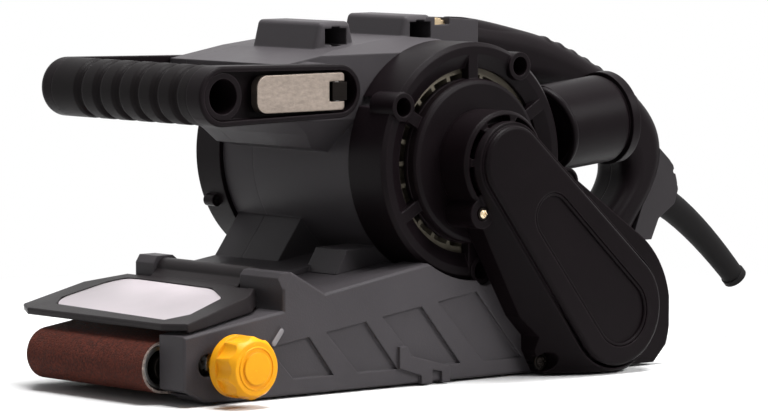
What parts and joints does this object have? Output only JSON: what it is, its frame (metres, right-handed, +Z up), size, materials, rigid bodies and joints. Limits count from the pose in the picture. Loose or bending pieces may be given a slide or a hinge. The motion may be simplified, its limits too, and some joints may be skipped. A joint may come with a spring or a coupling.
{
  "type": "belt sander",
  "caption": "Hand-held belt sander with folding front handle, rear trigger handle, sprung and tracked front roller, belt-driven rear roller, vented motor and dust outlet.",
  "frame": {"origin": "middle of the flat sanding face, on the sanding plane under the platen", "axes": "+X to the rear of the tool, +Y to the open side away from the drive cover, +Z up"},
  "size_m": [0.3664, 0.1532, 0.1477],
  "materials": {
    "abrasive": "brown abrasive grit on cloth",
    "graphite": "graphite cloth",
    "steel": "plain steel",
    "bronze": "bronze",
    "amber_plastic": "amber moulded plastic",
    "grey_casting": "die casting with dark grey paint",
    "grey_plastic": "dark grey moulded plastic",
    "black_plastic": "black moulded plastic, fine grain",
    "label": "bare pale label",
    "tyre_rubber": "black rubber",
    "black_steel": "blackened steel",
    "alloy": "turned aluminium",
    "zinc": "zinc plated steel",
    "bright_lever": "pressed steel, nickel plated",
    "beige_plastic": "beige moulded fan",
    "lamination": "stacked steel sheet",
    "winding": "enamelled copper wire",
    "carbon": "pressed carbon",
    "brass": "brass",
    "board": "green circuit board",
    "switch_plastic": "black switch body"
  },
  "bodies": {
    "body": {"base_frame": "grey_casting", "brush_holders": "brass", "brushes": "carbon", "cord_sleeve": "tyre_rubber", "drive_belt": "tyre_rubber", "drive_cover": "black_plastic", "drive_cover_screws": "black_steel", "drum_bearings": "zinc", "dust_port": "black_plastic", "end_cover_bolts": "black_steel", "far_end_cap": "black_plastic", "flap_hinge_pin": "steel", "handle_rear_cap": "grey_plastic", "handle_screws": "zinc", "housing_far": "grey_plastic", "housing_near": "grey_plastic", "lever_pin": "steel", "motor_bearings": "zinc", "motor_end_cover": "black_plastic", "platen": "steel", "rear_handle_far": "black_plastic", "rear_handle_near": "black_plastic", "sanding_belt": "abrasive", "slip_pad": "graphite", "speed_board": "board", "stator": "lamination", "stator_coils": "winding", "switch_block": "switch_plastic", "tension_spring": "steel", "trigger_pin": "steel"},
    "armature": {"motor_shaft": "steel", "armature": "lamination", "commutator": "bronze", "cooling_fan": "beige_plastic", "drive_pulley": "alloy"},
    "drum": {"drum_tyre": "tyre_rubber", "drum_core": "alloy", "drum_shaft": "steel", "driven_pulley": "alloy"},
    "carriage": {"tension_carriage": "steel", "yoke_pivot_pin": "steel"},
    "yoke": {"axle_yoke": "steel", "front_axle": "black_steel"},
    "front_roller": {"front_roller": "steel", "roller_bushes": "black_plastic"},
    "tension_lever": {"tension_lever": "steel"},
    "tracking_knob": {"tracking_knob": "amber_plastic"},
    "flap": {"front_flap": "black_plastic", "flap_label": "label"},
    "front_handle": {"front_handle": "black_plastic", "front_grip": "tyre_rubber", "clamp_bolt": "black_steel", "clamp_pin": "steel"},
    "clamp_lever": {"clamp_lever": "bright_lever"},
    "trigger": {"trigger": "grey_plastic"},
    "lock_button": {"lock_button": "black_plastic"},
    "speed_dial": {"speed_dial": "amber_plastic"}
  },
  "joints": [
    {"name": "motor_spin", "type": "hinge", "parent": "body", "child": "armature", "pos_m": [0.0505, -0.06, 0.0895], "axis": [0, 1, 0], "continuous": true},
    {"name": "rear_roller_spin", "type": "hinge", "parent": "body", "child": "drum", "pos_m": [0.1085, -0.04, 0.027], "axis": [0, 1, 0], "continuous": true},
    {"name": "tension_lever_swing", "type": "hinge", "parent": "body", "child": "tension_lever", "pos_m": [-0.038, 0.029, 0.0143], "axis": [0, 0, 1], "range_deg": [0, 75]},
    {"name": "carriage_slide", "type": "slide", "parent": "body", "child": "carriage", "axis": [1, 0, 0], "range_m": [0, 0.008], "deforming": ["tension_spring"]},
    {"name": "tracking_turn", "type": "hinge", "parent": "carriage", "child": "tracking_knob", "pos_m": [-0.084, -0.06, 0.0158], "axis": [0, -1, 0], "range_deg": [-90, 90]},
    {"name": "yoke_tilt", "type": "hinge", "parent": "carriage", "child": "yoke", "pos_m": [-0.069, 0, 0.0143], "axis": [0, 0, 1], "range_deg": [-0.8, 0.8]},
    {"name": "front_roller_spin", "type": "hinge", "parent": "yoke", "child": "front_roller", "pos_m": [-0.1, 0, 0.0143], "axis": [0, 1, 0], "continuous": true},
    {"name": "flap_hinge", "type": "hinge", "parent": "body", "child": "flap", "pos_m": [-0.0465, 0, 0.04601], "axis": [0, 1, 0], "range_deg": [0, 60]},
    {"name": "front_handle_tilt", "type": "hinge", "parent": "body", "child": "front_handle", "pos_m": [-0.02, 0, 0.1205], "axis": [0, 1, 0], "range_deg": [0, 60]},
    {"name": "clamp_lever_swing", "type": "hinge", "parent": "front_handle", "child": "clamp_lever", "pos_m": [-0.02, -0.0483, 0.1205], "axis": [0, 0, 1], "range_deg": [0, 110]},
    {"name": "trigger_pull", "type": "hinge", "parent": "body", "child": "trigger", "pos_m": [0.122, 0, 0.119], "axis": [0, -1, 0], "range_deg": [0, 8], "stiffness_Nm_per_rad": 0.6, "springref_deg": -2.86},
    {"name": "lock_press", "type": "slide", "parent": "body", "child": "lock_button", "axis": [0, 1, 0], "range_m": [0, 0.0025], "stiffness_N_per_m": 350, "springref_m": -0.001},
    {"name": "speed_dial_turn", "type": "hinge", "parent": "body", "child": "speed_dial", "pos_m": [0.066, -0.009, 0.1412], "axis": [0, -1, 0], "range_deg": [0, 270]}
  ],
  "couplings": [
    {"joint": "rear_roller_spin", "follows": "motor_spin", "ratio": 0.405},
    {"joint": "front_roller_spin", "follows": "motor_spin", "ratio": 1.0952},
    {"joint": "tension_lever_swing", "follows": "carriage_slide", "rad_per_m": 163.5},
    {"joint": "yoke_tilt", "follows": "tracking_turn", "ratio": 0.0088778}
  ]
}
